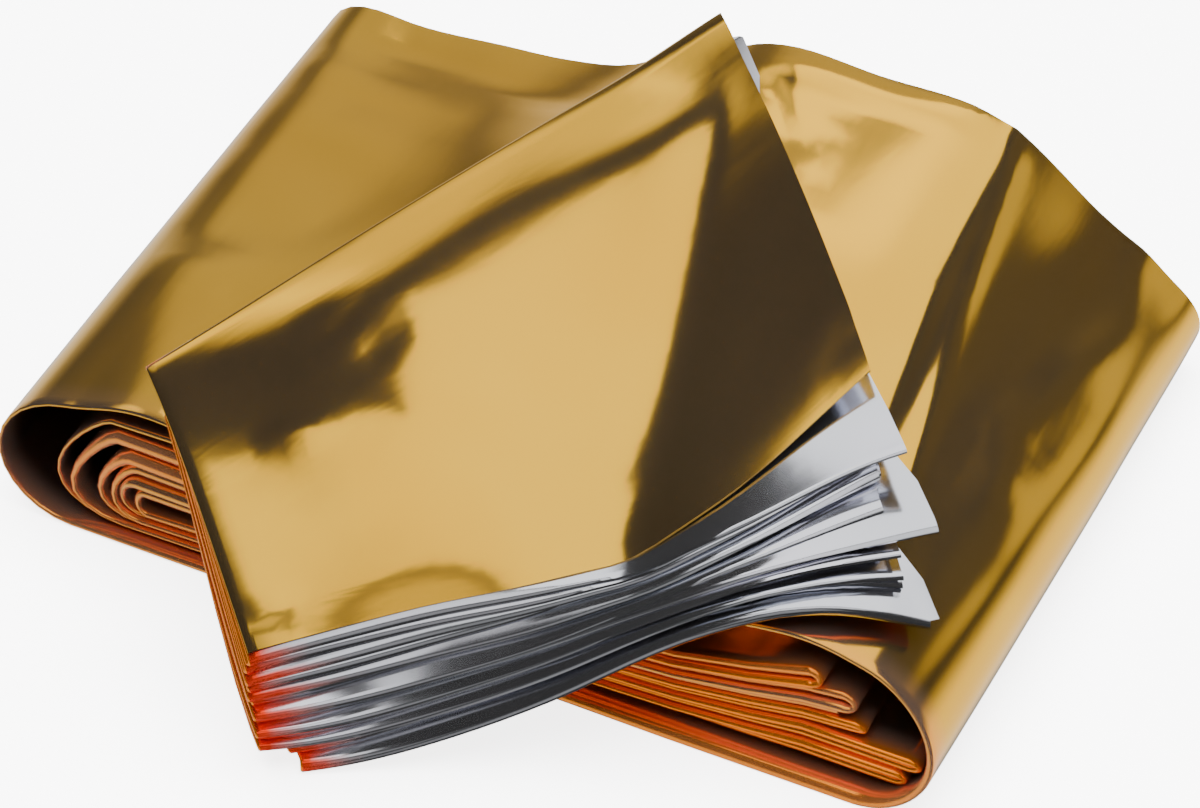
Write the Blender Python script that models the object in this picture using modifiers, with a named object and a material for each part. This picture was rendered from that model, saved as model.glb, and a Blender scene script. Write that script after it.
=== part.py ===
"""Emergency foil blanket, gold on one face and silver on the other.

One film strip: its inner length is wound flat into a wide low roll, and its outer end is drawn
off the top of the roll, over the near edge, and folded back and forth into a pack that leans on
the roll with its near left corner on the floor. Metres, +Z up, the near side at -Y.
"""

import math
from typing import NamedTuple

import bpy
import numpy as np

MM = 0.001

# ---- driving sizes, in millimetres ----
FILM = 1.0  # thickness of one drawn layer, which stands for a bundle of finer film layers
STRIP_WIDTH = 196.0  # the film folded in eight lengthways
ROLL_LENGTH = 284.0
PACK_WIDTH = 180.0
PACK_DEPTH = 105.0
ROLL_TURNS = 6
PACK_LAYERS = 10  # an even number, so that the top layer ends at the near side
CELLS_ACROSS = 9
LOOP_DEPTH = 22.0  # how far the outermost end loop reaches out of the straight run
TIGHTEST_LOOP = 2.5
FAR_NARROWING = 4.0  # how much shorter the roll is along its far edge, at its right end
CORE_END = 214.0  # where the film's inner end lies, along the roll
LOOP_WAVE = 1.8  # unevenness of a loop from the near edge to the far edge
RUN_WAVE = 0.12  # unevenness of an inner run, as a share of the gap between layers
LAYER_LIFT = 4.2  # gap between the drawn-off layer and the first layer of the pack
FOLD_REACH = 2.4  # how far a fold of the pack stands out of its layers' ends
CROWN = 2.5  # how far the pack's top bulges up in its middle
DROP_REACH = 62.0  # how far in front of the roll the drawn-off layer reaches the floor

# Plan places are measured from the left and near sides of a layout, and this is its middle.
LAYOUT_MIDDLE = (169.9, 174.6)
ROLL_CORNER = (1.4, 149.5)  # the near left corner of the roll
ROLL_TURN_DEG = -26.0  # how the roll's long side is turned in plan

GOLD = (0.72, 0.44, 0.10)
SILVER = (0.62, 0.64, 0.67)
SHINE_ROUGHNESS = 0.22


class HeightRow(NamedTuple):
    """Height of the second layer down, at one place along the roll."""

    along: float
    near: float
    near_middle: float
    far_middle: float
    far: float


class Turn(NamedTuple):
    """How one turn of the roll differs from the outermost one."""

    left_in: float  # how far its left loop stands in from the roll's left end
    right_in: float
    near_out: float  # how far its near cut edge stands proud
    far_out: float


class Fold(NamedTuple):
    """Unevenness of one pair of folds of the pack."""

    near_out: float  # how far the near fold stands out
    far_out: float
    right_shift: float
    near_right_out: float  # the near fold's extra reach at its right end


# Depths in from the near edge at which the columns of ROLL_HEIGHTS are given.
HEIGHT_DEPTHS = (0.0, 60.0, 130.0, 196.0)
ROLL_HEIGHTS = (
    HeightRow(along=0.0, near=38.0, near_middle=38.0, far_middle=38.0, far=38.0),
    HeightRow(along=22.0, near=40.0, near_middle=40.0, far_middle=38.0, far=33.0),
    HeightRow(along=60.0, near=45.0, near_middle=44.0, far_middle=40.0, far=35.0),
    HeightRow(along=80.0, near=41.0, near_middle=46.0, far_middle=44.0, far=37.0),
    HeightRow(along=100.0, near=39.0, near_middle=49.0, far_middle=51.0, far=42.0),
    HeightRow(along=120.0, near=37.0, near_middle=53.0, far_middle=60.0, far=55.0),
    HeightRow(along=140.0, near=36.0, near_middle=56.0, far_middle=67.0, far=69.0),
    HeightRow(along=180.0, near=38.0, near_middle=60.0, far_middle=71.0, far=71.0),
    HeightRow(along=222.0, near=48.0, near_middle=60.0, far_middle=66.0, far=66.5),
    HeightRow(along=250.0, near=51.0, near_middle=52.0, far_middle=49.0, far=41.0),
    HeightRow(along=270.0, near=46.0, near_middle=44.0, far_middle=39.0, far=31.0),
    HeightRow(along=284.0, near=42.0, near_middle=42.0, far_middle=38.0, far=31.0),
)

# The roll's turns, outermost first.
TURNS = (
    Turn(left_in=0.0, right_in=0.0, near_out=1.5, far_out=0.0),
    Turn(left_in=17.0, right_in=8.0, near_out=-0.5, far_out=1.0),
    Turn(left_in=25.0, right_in=24.0, near_out=1.0, far_out=-1.0),
    Turn(left_in=33.0, right_in=29.0, near_out=-1.0, far_out=0.5),
    Turn(left_in=41.0, right_in=33.0, near_out=0.5, far_out=-0.5),
    Turn(left_in=52.0, right_in=38.0, near_out=-1.5, far_out=1.0),
)

# The pack's pairs of folds, lowest first.
FOLDS = (
    Fold(near_out=0.5, far_out=-1.0, right_shift=1.5, near_right_out=1.5),
    Fold(near_out=-1.0, far_out=0.5, right_shift=-1.5, near_right_out=-1.0),
    Fold(near_out=1.0, far_out=-1.0, right_shift=1.0, near_right_out=2.5),
    Fold(near_out=-1.0, far_out=0.5, right_shift=-1.0, near_right_out=-0.5),
    Fold(near_out=0.0, far_out=0.0, right_shift=0.5, near_right_out=7.0),
)

# The pack's four long edges, each at five places from its left end to its right end: x and y, and
# z for the top ones. The lower ones lie on the roll and the floor.
EDGE_PLACES = (0.0, 0.25, 0.5, 0.75, 1.0)
NEAR_LOW = ((80.0, 42.4), (124.0, 45.0), (168.0, 46.0), (213.0, 46.5), (256.0, 51.0))
FAR_LOW = ((50.0, 116.0), (89.0, 138.0), (129.0, 161.0), (169.0, 184.0), (208.0, 206.0))
NEAR_TOP = (
    (75.2, 42.0, 44.0),
    (117.0, 48.0, 54.0),
    (158.0, 51.5, 65.5),
    (197.6, 61.0, 82.5),
    (241.0, 90.0, 105.0),
)
FAR_TOP = (
    (46.1, 115.5, 82.0),
    (84.3, 138.5, 93.5),
    (123.0, 162.5, 105.5),
    (162.0, 187.5, 116.0),
    (201.6, 209.2, 130.0),
)

# Where rows of the strip stand: along the roll's upper and lower runs, and from the near edge to
# the far edge of the pack as a share of its depth.
UPPER_STATIONS = (40.0, 62.0, 84.0, 104.0, 124.0, 144.0, 168.0, 196.0, 222.0, 240.0, 254.0)
LOWER_STATIONS = (62.0, 104.0, 132.0, 168.0, 222.0)
STATION_MARGIN = 6.0  # a station nearer to a loop than this is left out
PACK_STATIONS = (0.14, 0.28, 0.44, 0.62, 0.82)
FOLD_ANGLES = (45.0, 90.0, 135.0)
OUTER_LOOP_ROWS = 7
INNER_LOOP_ROWS = 4

# The layer drawn off the roll, in the roll's own frame: its near cut edge and its far cut edge
# start here and sweep round through the second place to the pack's lowest near fold.
SWEEP_NEAR = ((70.0, 0.0), (98.0, -12.0))
SWEEP_FAR = ((128.0, 196.0), (158.0, 112.0))
SWEEP_STEPS = 15
LEAVING_ROWS = 4

# ---- what follows from them ----
LEVEL_STEP = 1.0 / (2 * ROLL_TURNS - 1)  # from one roll layer to the next, floor 0 and top 1
SECOND_LEVEL = 1.0 - LEVEL_STEP
MIDDLE_LEVEL = 0.5
LOWEST = 0.5 * FILM
ACROSS = np.linspace(0.0, 1.0, CELLS_ACROSS + 1)
ROLL_TURN = math.radians(ROLL_TURN_DEG)
ROLL_AXIS = np.array([math.cos(ROLL_TURN), math.sin(ROLL_TURN)])
DEPTH_AXIS = np.array([-ROLL_AXIS[1], ROLL_AXIS[0]])
PACK_AXIS = np.array([-0.35, 0.93])  # plan direction from the pack's near folds to its far ones
OUTWARD = np.array([0.10, -0.99, 0.0])  # plan direction in which its lowest near fold points


def smooth(t):
    """Rises from 0 to 1, level at both ends."""
    return t * t * (3 - 2 * t)


def spline(places, values, at):
    """Smooth curve through the given values, flat-ended, read at the given places."""
    places = np.asarray(places, float)
    values = np.asarray(values, float)
    slopes = np.gradient(values, places)
    at = np.clip(np.asarray(at, float), places[0], places[-1])
    cell = np.clip(np.searchsorted(places, at, side="right") - 1, 0, len(places) - 2)
    gap = places[cell + 1] - places[cell]
    t = (at - places[cell]) / gap
    start = (1 + 2 * t) * (1 - t) ** 2 * values[cell]
    start_slope = t * (1 - t) ** 2 * gap * slopes[cell]
    end = smooth(t) * values[cell + 1]
    end_slope = t * t * (t - 1) * gap * slopes[cell + 1]
    return start + start_slope + end + end_slope


def roll_height(along, depth):
    """Height of the top of the roll, over its frame."""
    along = np.asarray(along, float)
    rows = np.asarray(ROLL_HEIGHTS)
    columns = np.stack([spline(rows[:, 0], heights, along) for heights in rows[:, 1:].T], -1)
    depths = np.asarray(HEIGHT_DEPTHS)
    depth = np.clip(np.asarray(depth, float), depths[0], depths[-1])
    cell = np.clip(np.searchsorted(depths, depth, side="right") - 1, 0, len(depths) - 2)
    t = smooth((depth - depths[cell]) / (depths[cell + 1] - depths[cell]))
    low = np.take_along_axis(columns, cell[..., None], -1)[..., 0]
    high = np.take_along_axis(columns, cell[..., None] + 1, -1)[..., 0]
    return (low + (high - low) * t) / SECOND_LEVEL


def draped_height(along, depth):
    """Height of a layer that lies on the roll and falls over its near edge to the floor."""
    out = np.clip(-np.asarray(depth, float) / DROP_REACH, 0.0, 1.0)
    fall = 0.5 * (1 + np.cos(math.pi * out))
    return LOWEST + (roll_height(along, depth) - LOWEST) * fall


def roll_to_plan(along, depth):
    """Plan place of a place that is measured along the roll and in from its near edge."""
    forward = np.multiply.outer(along, ROLL_AXIS)
    inward = np.multiply.outer(depth, DEPTH_AXIS)
    return np.array(ROLL_CORNER) + forward + inward


def plan_to_roll(plan):
    """The reverse of roll_to_plan, as along and depth."""
    offset = np.asarray(plan) - np.array(ROLL_CORNER)
    return offset @ ROLL_AXIS, offset @ DEPTH_AXIS


def roll_row(along, level, turn):
    """One row of the strip inside the roll: a place along it and a level from floor to top."""
    shape = TURNS[turn]
    depth = ACROSS * STRIP_WIDTH - shape.near_out * (1 - ACROSS) + shape.far_out * ACROSS
    height = LOWEST + (roll_height(along, depth) - LOWEST) * level
    return np.column_stack([roll_to_plan(along, depth), height])


def end_wave(turn, side):
    """A slight unevenness of one inner loop from the near edge to the far edge."""
    return LOOP_WAVE * np.sin(2.4 * ACROSS + 1.7 * turn + 2.9 * side) * (turn > 0)


def left_tip(turn):
    """How far along the roll the left loop of a turn reaches, from the near to the far edge."""
    return TURNS[turn].left_in + end_wave(turn, 0)


def right_tip(turn):
    """How far along the roll the right loop of a turn reaches, from the near to the far edge."""
    return ROLL_LENGTH - TURNS[turn].right_in - FAR_NARROWING * ACROSS**2 - end_wave(turn, 1)


def loop_depth(half_height):
    """How far a loop of this half height, as a level, reaches out of its straight runs."""
    return max(2.0 * half_height * LOOP_DEPTH, TIGHTEST_LOOP)


def left_half(turn):
    """Half height of a left loop, which joins a turn's lower run to its upper one."""
    return 0.5 - turn * LEVEL_STEP


def right_half(turn):
    """Half height of a right loop, which joins an upper run to the next turn's lower one."""
    return 0.5 - (turn + 0.5) * LEVEL_STEP


def run_rows(turn, level, right_turn, stations):
    """The rows of one straight run, left to right; the innermost lower run has no right loop."""
    left = left_tip(turn) + loop_depth(left_half(turn))
    if right_turn is None:
        right = np.full_like(ACROSS, CORE_END)
    else:
        right = right_tip(right_turn) - loop_depth(right_half(right_turn))
    first, last = left.max() + STATION_MARGIN, right.min() - STATION_MARGIN
    inside = [np.full_like(ACROSS, x) for x in stations if first < x < last]
    rows = []
    for along in (left, *inside, right):
        part = (along - left) / (right - left)
        wave = RUN_WAVE * LEVEL_STEP * np.sin(9.0 * part + 2.1 * turn + 3.0 * ACROSS)
        quiet_ends = 4.0 * part * (1 - part) * (turn > 0)
        rows.append(roll_row(along, level + wave * quiet_ends, turn))
    return rows


def loop_rows(turn, tip, middle, half, inward):
    """The rows of one end loop; half is positive where the loop runs from low to high."""
    reach = loop_depth(abs(half))
    count = OUTER_LOOP_ROWS if turn < 2 else INNER_LOOP_ROWS
    rows = []
    for angle in np.linspace(0, math.pi, count + 2)[1:-1]:
        along = tip + inward * reach * (1 - math.sin(angle))
        rows.append(roll_row(along, middle - half * math.cos(angle), turn))
    return rows


def roll_rows():
    """The wound rows, from the inner end out to where the outermost layer leaves the roll."""
    rows = []
    for turn in reversed(range(ROLL_TURNS)):
        right_turn = turn if turn < ROLL_TURNS - 1 else None
        rows += reversed(run_rows(turn, turn * LEVEL_STEP, right_turn, LOWER_STATIONS))
        rows += loop_rows(turn, left_tip(turn), MIDDLE_LEVEL, left_half(turn), 1.0)
        if turn:
            rows += run_rows(turn, 1.0 - turn * LEVEL_STEP, turn - 1, UPPER_STATIONS)
            middle = MIDDLE_LEVEL - 0.5 * LEVEL_STEP
            tip, half = right_tip(turn - 1), right_half(turn - 1)
            rows += loop_rows(turn - 1, tip, middle, -half, -1.0)
    start = loop_depth(left_half(0))
    leaving = SWEEP_NEAR[0][0] + (SWEEP_FAR[0][0] - SWEEP_NEAR[0][0]) * ACROSS
    for part in np.linspace(0.0, 1.0, LEAVING_ROWS + 1)[:-1]:
        rows.append(roll_row(start + (leaving - start) * part, 1.0, 0))
    return rows


def bend(start, middle, end, t):
    """A place on a curve drawn from start to end towards middle."""
    start, middle, end = map(np.asarray, (start, middle, end))
    return (1 - t) ** 2 * start + 2 * t * (1 - t) * middle + t * t * end


def edge_point(edge, a):
    """A place on one of the pack's long edges, run on straight past its ends."""
    inside = min(max(a, 0.0), 1.0)
    columns = np.asarray(edge, float)
    point = np.array([spline(EDGE_PLACES, column, inside) for column in columns.T])
    slope = (columns[1] - columns[0] if a < 0.5 else columns[-1] - columns[-2]) / EDGE_PLACES[1]
    return point + slope * (a - inside)


def pack_point(a, b, h):
    """A place in the pack: a from left to right, b from near to far, h from low to top."""
    low = edge_point(NEAR_LOW, a) * (1 - b) + edge_point(FAR_LOW, a) * b
    low_height = float(draped_height(*plan_to_roll(low))) + LAYER_LIFT
    low = np.append(low, low_height)
    top = edge_point(NEAR_TOP, a) * (1 - b) + edge_point(FAR_TOP, a) * b
    crown = CROWN * math.sin(math.pi * min(max(b, 0.0), 1.0)) * h
    return low + (top - low) * h + np.array([0.0, 0.0, crown])


def near_depth(pair, a):
    """Where a near fold stands, as a share of the pack's depth."""
    return -(FOLDS[pair].near_out + FOLDS[pair].near_right_out * a**3) / PACK_DEPTH


def far_depth(pair):
    """Where a far fold stands, as a share of the pack's depth."""
    return 1.0 + FOLDS[pair].far_out / PACK_DEPTH


def pack_row(depth_of, h, right_shift):
    """One row of the strip in the pack, at the depth that depth_of gives for each place."""
    points = []
    for a in ACROSS:
        b = depth_of(a)
        shift = right_shift * (1 - min(b, 1.0)) / PACK_WIDTH
        points.append(pack_point(a + shift, b, h))
    return np.array(points)


def sweep_rows():
    """The layer drawn off the roll, round and down to the pack's lowest near fold."""
    near_end = plan_to_roll(edge_point(NEAR_LOW, 0.0))
    far_end = plan_to_roll(edge_point(NEAR_LOW, 1.0))
    rows = []
    for t in np.linspace(0.0, 1.0, SWEEP_STEPS):
        near = bend(*SWEEP_NEAR, near_end, t)
        far = bend(*SWEEP_FAR, far_end, t)
        along, depth = (near + (far - near) * ACROSS[:, None]).T
        rows.append(np.column_stack([roll_to_plan(along, depth), draped_height(along, depth)]))
    shift = FOLDS[0].right_shift / PACK_WIDTH
    ends = [pack_point(a + shift, near_depth(0, a), 0.0) for a in ACROSS]
    rows[-1] = np.array(ends) - np.array([0.0, 0.0, LAYER_LIFT])
    return rows


def lowest_fold_rows(below):
    """The near fold that joins the drawn-off layer's last row to the pack's first layer."""
    above = pack_row(lambda a: near_depth(0, a), 0.0, FOLDS[0].right_shift)
    rows = []
    for angle in map(math.radians, FOLD_ANGLES):
        between = 0.5 * (below + above) + 0.5 * math.cos(angle) * (below - above)
        rows.append(between + OUTWARD * FOLD_REACH * math.sin(angle))
    return rows


def fold_rows(depth_of, side, level, shifts):
    """A fold between the layer at level and the next one; side is 1 at the far edge."""
    rows = []
    for angle in map(math.radians, FOLD_ANGLES):
        part = 0.5 - 0.5 * math.cos(angle)
        reach = side * FOLD_REACH / PACK_DEPTH * math.sin(angle)
        h = (level + part) / (PACK_LAYERS - 1)
        shift = shifts[0] + (shifts[1] - shifts[0]) * part
        rows.append(pack_row(lambda a, reach=reach: depth_of(a) + reach, h, shift))
    return rows


def pack_rows():
    """The back-and-forth layers, from the lowest near fold up to the free near edge on top."""
    rows = []
    top_pair = len(FOLDS) - 1
    for layer in range(PACK_LAYERS):
        pair, next_pair = layer // 2, min((layer + 1) // 2, top_pair)
        outward_run = layer % 2 == 0
        at_top = layer == PACK_LAYERS - 1

        def near(a, pair=pair if outward_run else next_pair, free=at_top):
            return 0.0 if free else near_depth(pair, a)

        def far(a, pair=pair):
            return far_depth(pair)

        stations = [near, *(lambda a, b=b: b for b in PACK_STATIONS), far]
        h = layer / (PACK_LAYERS - 1)
        for place in stations if outward_run else reversed(stations):
            rows.append(pack_row(place, h, FOLDS[pair].right_shift))
        if not at_top:
            shifts = (FOLDS[pair].right_shift, FOLDS[next_pair].right_shift)
            turned_at, side = (far, 1.0) if outward_run else (near, -1.0)
            rows += fold_rows(turned_at, side, layer, shifts)
    return rows


def clear_scene():
    for obj in list(bpy.data.objects):
        bpy.data.objects.remove(obj)


def foil_material(name, colour):
    """Bright metallised film of one colour."""
    material = bpy.data.materials.new(name)
    material.use_nodes = True
    shader = material.node_tree.nodes["Principled BSDF"]
    shader.inputs["Base Color"].default_value = (*colour, 1.0)
    shader.inputs["Metallic"].default_value = 1.0
    shader.inputs["Roughness"].default_value = SHINE_ROUGHNESS
    return material


def strip_faces(rows, roll_count):
    """A line of faces between each pair of rows, two triangles to a cell.

    Every layer splits its cells the same way in space, so layers that lie close stay apart.
    """
    faces = []
    for r in range(len(rows) - 1):
        step = (rows[r + 1] - rows[r]).mean(axis=0)[:2]
        forward = step @ (ROLL_AXIS if r < roll_count else PACK_AXIS) > 0
        for c in range(CELLS_ACROSS):
            low = r * len(ACROSS) + c
            high = low + len(ACROSS)
            if forward:
                faces += [(low, high, high + 1), (low, high + 1, low + 1)]
            else:
                faces += [(low, high, low + 1), (high, high + 1, low + 1)]
    return faces


def strip_object(rows, roll_count, collection):
    """The strip as an open surface, gold side out, thickened to one solid."""
    points = np.concatenate(rows)
    points[:, :2] -= LAYOUT_MIDDLE
    mesh = bpy.data.meshes.new("foil_blanket")
    mesh.from_pydata((points * MM).tolist(), [], strip_faces(rows, roll_count))
    mesh.materials.append(foil_material("gold_film", GOLD))
    mesh.materials.append(foil_material("silver_film", SILVER))
    mesh.shade_smooth()
    strip = bpy.data.objects.new("foil_blanket", mesh)
    collection.objects.link(strip)
    solid = strip.modifiers.new("film", "SOLIDIFY")
    solid.thickness = FILM * MM
    solid.offset = 0.0
    solid.material_offset = 1


def main():
    clear_scene()
    collection = bpy.data.collections.new("foil_blanket")
    bpy.context.scene.collection.children.link(collection)
    wound, swept = roll_rows(), sweep_rows()
    rows = wound + swept + lowest_fold_rows(swept[-1]) + pack_rows()
    strip_object(rows, len(wound), collection)


main()
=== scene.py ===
"""Emergency foil blanket: one sheet of metallised film, wound in a flat roll and folded in a pack.

Plan places are in millimetres from the left and near sides of the layout; meshes are in metres.
"""

import logging
import math
from dataclasses import dataclass, field
from enum import Enum
from typing import ClassVar, Sequence, Union

import bpy
import numpy as np
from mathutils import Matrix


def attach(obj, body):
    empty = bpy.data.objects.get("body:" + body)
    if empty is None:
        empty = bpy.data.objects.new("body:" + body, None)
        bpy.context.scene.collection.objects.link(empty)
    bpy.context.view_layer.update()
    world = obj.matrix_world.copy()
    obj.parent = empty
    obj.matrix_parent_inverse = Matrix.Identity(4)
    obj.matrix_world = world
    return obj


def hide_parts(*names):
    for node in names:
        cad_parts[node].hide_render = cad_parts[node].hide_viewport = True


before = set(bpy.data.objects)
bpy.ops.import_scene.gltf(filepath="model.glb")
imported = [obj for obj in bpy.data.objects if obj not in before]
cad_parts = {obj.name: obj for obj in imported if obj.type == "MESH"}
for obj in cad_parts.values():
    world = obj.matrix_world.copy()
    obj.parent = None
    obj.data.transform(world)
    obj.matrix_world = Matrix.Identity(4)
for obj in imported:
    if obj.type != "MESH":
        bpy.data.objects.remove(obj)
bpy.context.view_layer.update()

LOG = logging.getLogger("foil_blanket")
MM = 0.001
Array = np.ndarray
Value = Union[float, np.ndarray]


class Face(Enum):
    """The two faces of the film, as material slots of the sheet."""

    GOLD = 0
    SILVER = 1


class Zone(Enum):
    """The stretches of the strip, in the order in which they follow each other."""

    ROLL = 0
    DRAWN_OFF = 1
    PACK = 2


# ---------------------------------------------------------------- curves


def smooth(t: Array) -> Array:
    """Rise from 0 to 1, level at both ends, and held outside them."""
    t = np.clip(t, 0.0, 1.0)
    return t * t * (3 - 2 * t)


def blend(first: Value, second: Value, share: Value) -> Value:
    """Return a value at a share of the way from the first to the second."""
    return first + (second - first) * share


def spline(places: Sequence[float], values: Sequence[float], at: Array) -> Array:
    """Read a smooth curve through values.

    Args:
        places: Rising places at which the values are given.
        values: The values there.
        at: The places to read.

    Returns:
        The curve's values, held level outside the given places.
    """
    places, values = np.asarray(places, float), np.asarray(values, float)
    slopes = np.gradient(values, places)
    at = np.clip(np.asarray(at, float), places[0], places[-1])
    cell = np.clip(np.searchsorted(places, at, side="right") - 1, 0, len(places) - 2)
    gap = places[cell + 1] - places[cell]
    t = (at - places[cell]) / gap
    start = (1 + 2 * t) * (1 - t) ** 2 * values[cell] + t * (1 - t) ** 2 * gap * slopes[cell]
    end = t * t * (3 - 2 * t) * values[cell + 1] + t * t * (t - 1) * gap * slopes[cell + 1]
    return start + end


def line_distance(
    x: Array, y: Array, start: Sequence[float], end: Sequence[float]
) -> tuple[Array, Array]:
    """Measure places against a straight crease.

    Args:
        x: First coordinate of the places.
        y: Second coordinate of the places.
        start: Where the crease starts.
        end: Where it ends.

    Returns:
        The signed distance to the crease's line, and how far along it each place is, from 0 to 1.
    """
    dx, dy = end[0] - start[0], end[1] - start[1]
    length = math.hypot(dx, dy)
    along = ((x - start[0]) * dx + (y - start[1]) * dy) / length**2
    side = ((x - start[0]) * dy - (y - start[1]) * dx) / length
    return side, along


@dataclass(frozen=True)
class Crease:
    """A soft straight ridge or trough on a visible layer, in that layer's own plan, in mm."""

    start: tuple[float, float]
    end: tuple[float, float]
    height: float  # negative for a trough
    width: float
    sharp: float = 0.0  # 0 for a rounded top, 1 for a sharp one
    rise: float = 0.2  # the share of its length over which its start comes up
    fade: float = 0.2  # the share over which its end dies away
    run_on: ClassVar[float] = 0.08  # how far it shows past both ends, as a share of its length
    sharp_fall: ClassVar[float] = 1.6  # how fast a sharp top falls away within one width
    farthest: ClassVar[float] = 4.0  # the widths from its line past which it stays level

    def lift(self, x: Array, y: Array) -> Array:
        """Work out the crease's height.

        Args:
            x: First coordinate of the places.
            y: Second coordinate of the places.

        Returns:
            How far the crease lifts the layer at each place.
        """
        side, along = line_distance(x, y, self.start, self.end)
        near = np.clip(np.abs(side) / self.width, 0.0, self.farthest)
        rounded, sharp = np.exp(-(near**2)), np.exp(-self.sharp_fall * near)
        profile = (1 - self.sharp) * rounded + self.sharp * sharp
        first = smooth((along + self.run_on) / self.rise)
        last = smooth((1.0 + self.run_on - along) / self.fade)
        return self.height * profile * (first * last)


@dataclass(frozen=True)
class Ripple:
    """A soft curved ridge across the roll, from its near to its far edge, in mm."""

    depths: tuple[float, ...]
    alongs: tuple[float, ...]
    height: float
    width: float
    rise: float = 14.0  # the depth over which its near end comes up

    def lift(self, along: Array, depth: Array) -> Array:
        """Return how far the ripple lifts the layer at each place."""
        near = (along - spline(self.depths, self.alongs, depth)) / self.width
        return self.height * np.exp(-(near**2)) * smooth((depth - self.depths[0]) / self.rise)


@dataclass(frozen=True)
class Wave:
    """A small waver that shifts from layer to layer, so that no two lie alike, in mm."""

    height: float
    swing: float  # how far it turns over a layer's whole length or width, in radians
    shift: float  # how far it turns from one layer to the next

    def at(self, place: Value, layer: float, start: Value = 0.0) -> Array:
        """Return the waver at places of a layer, turned on by a start in radians."""
        return self.height * np.sin(self.swing * np.asarray(place) + self.shift * layer + start)


# ---------------------------------------------------------------- the roll


@dataclass(frozen=True)
class HeightRow:
    """Height of the second layer down, at one place along the roll, from near to far."""

    along: float
    near: float
    near_middle: float
    far_middle: float
    far: float

    def across(self) -> tuple[float, float, float, float]:
        """Return its heights, from near to far."""
        return self.near, self.near_middle, self.far_middle, self.far


@dataclass(frozen=True)
class Run:
    """One layer of the roll: how high it lies, as a share of the roll's height, at four places."""

    left: float
    early: float
    waist: float
    right: float
    near_out: float  # how far its near folded edge stands proud, in mm
    far_out: float
    thickest: float = 2.4  # the most that its bundle opens, in mm
    painted_reflection: float = 1.0  # how strongly the orange reflection of gold in gold is painted on its near folded edge


@dataclass(frozen=True)
class Loop:
    """One end loop of the roll, between a lower and an upper run."""

    low: int
    high: int
    tip_in: float  # how far in from the roll's end the tip stands
    reach: float  # how far the loop stands out of its straight runs
    droop: float = 1.0  # above 1 the tip hangs low, below 1 it stands high
    steps: int = 8


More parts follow.
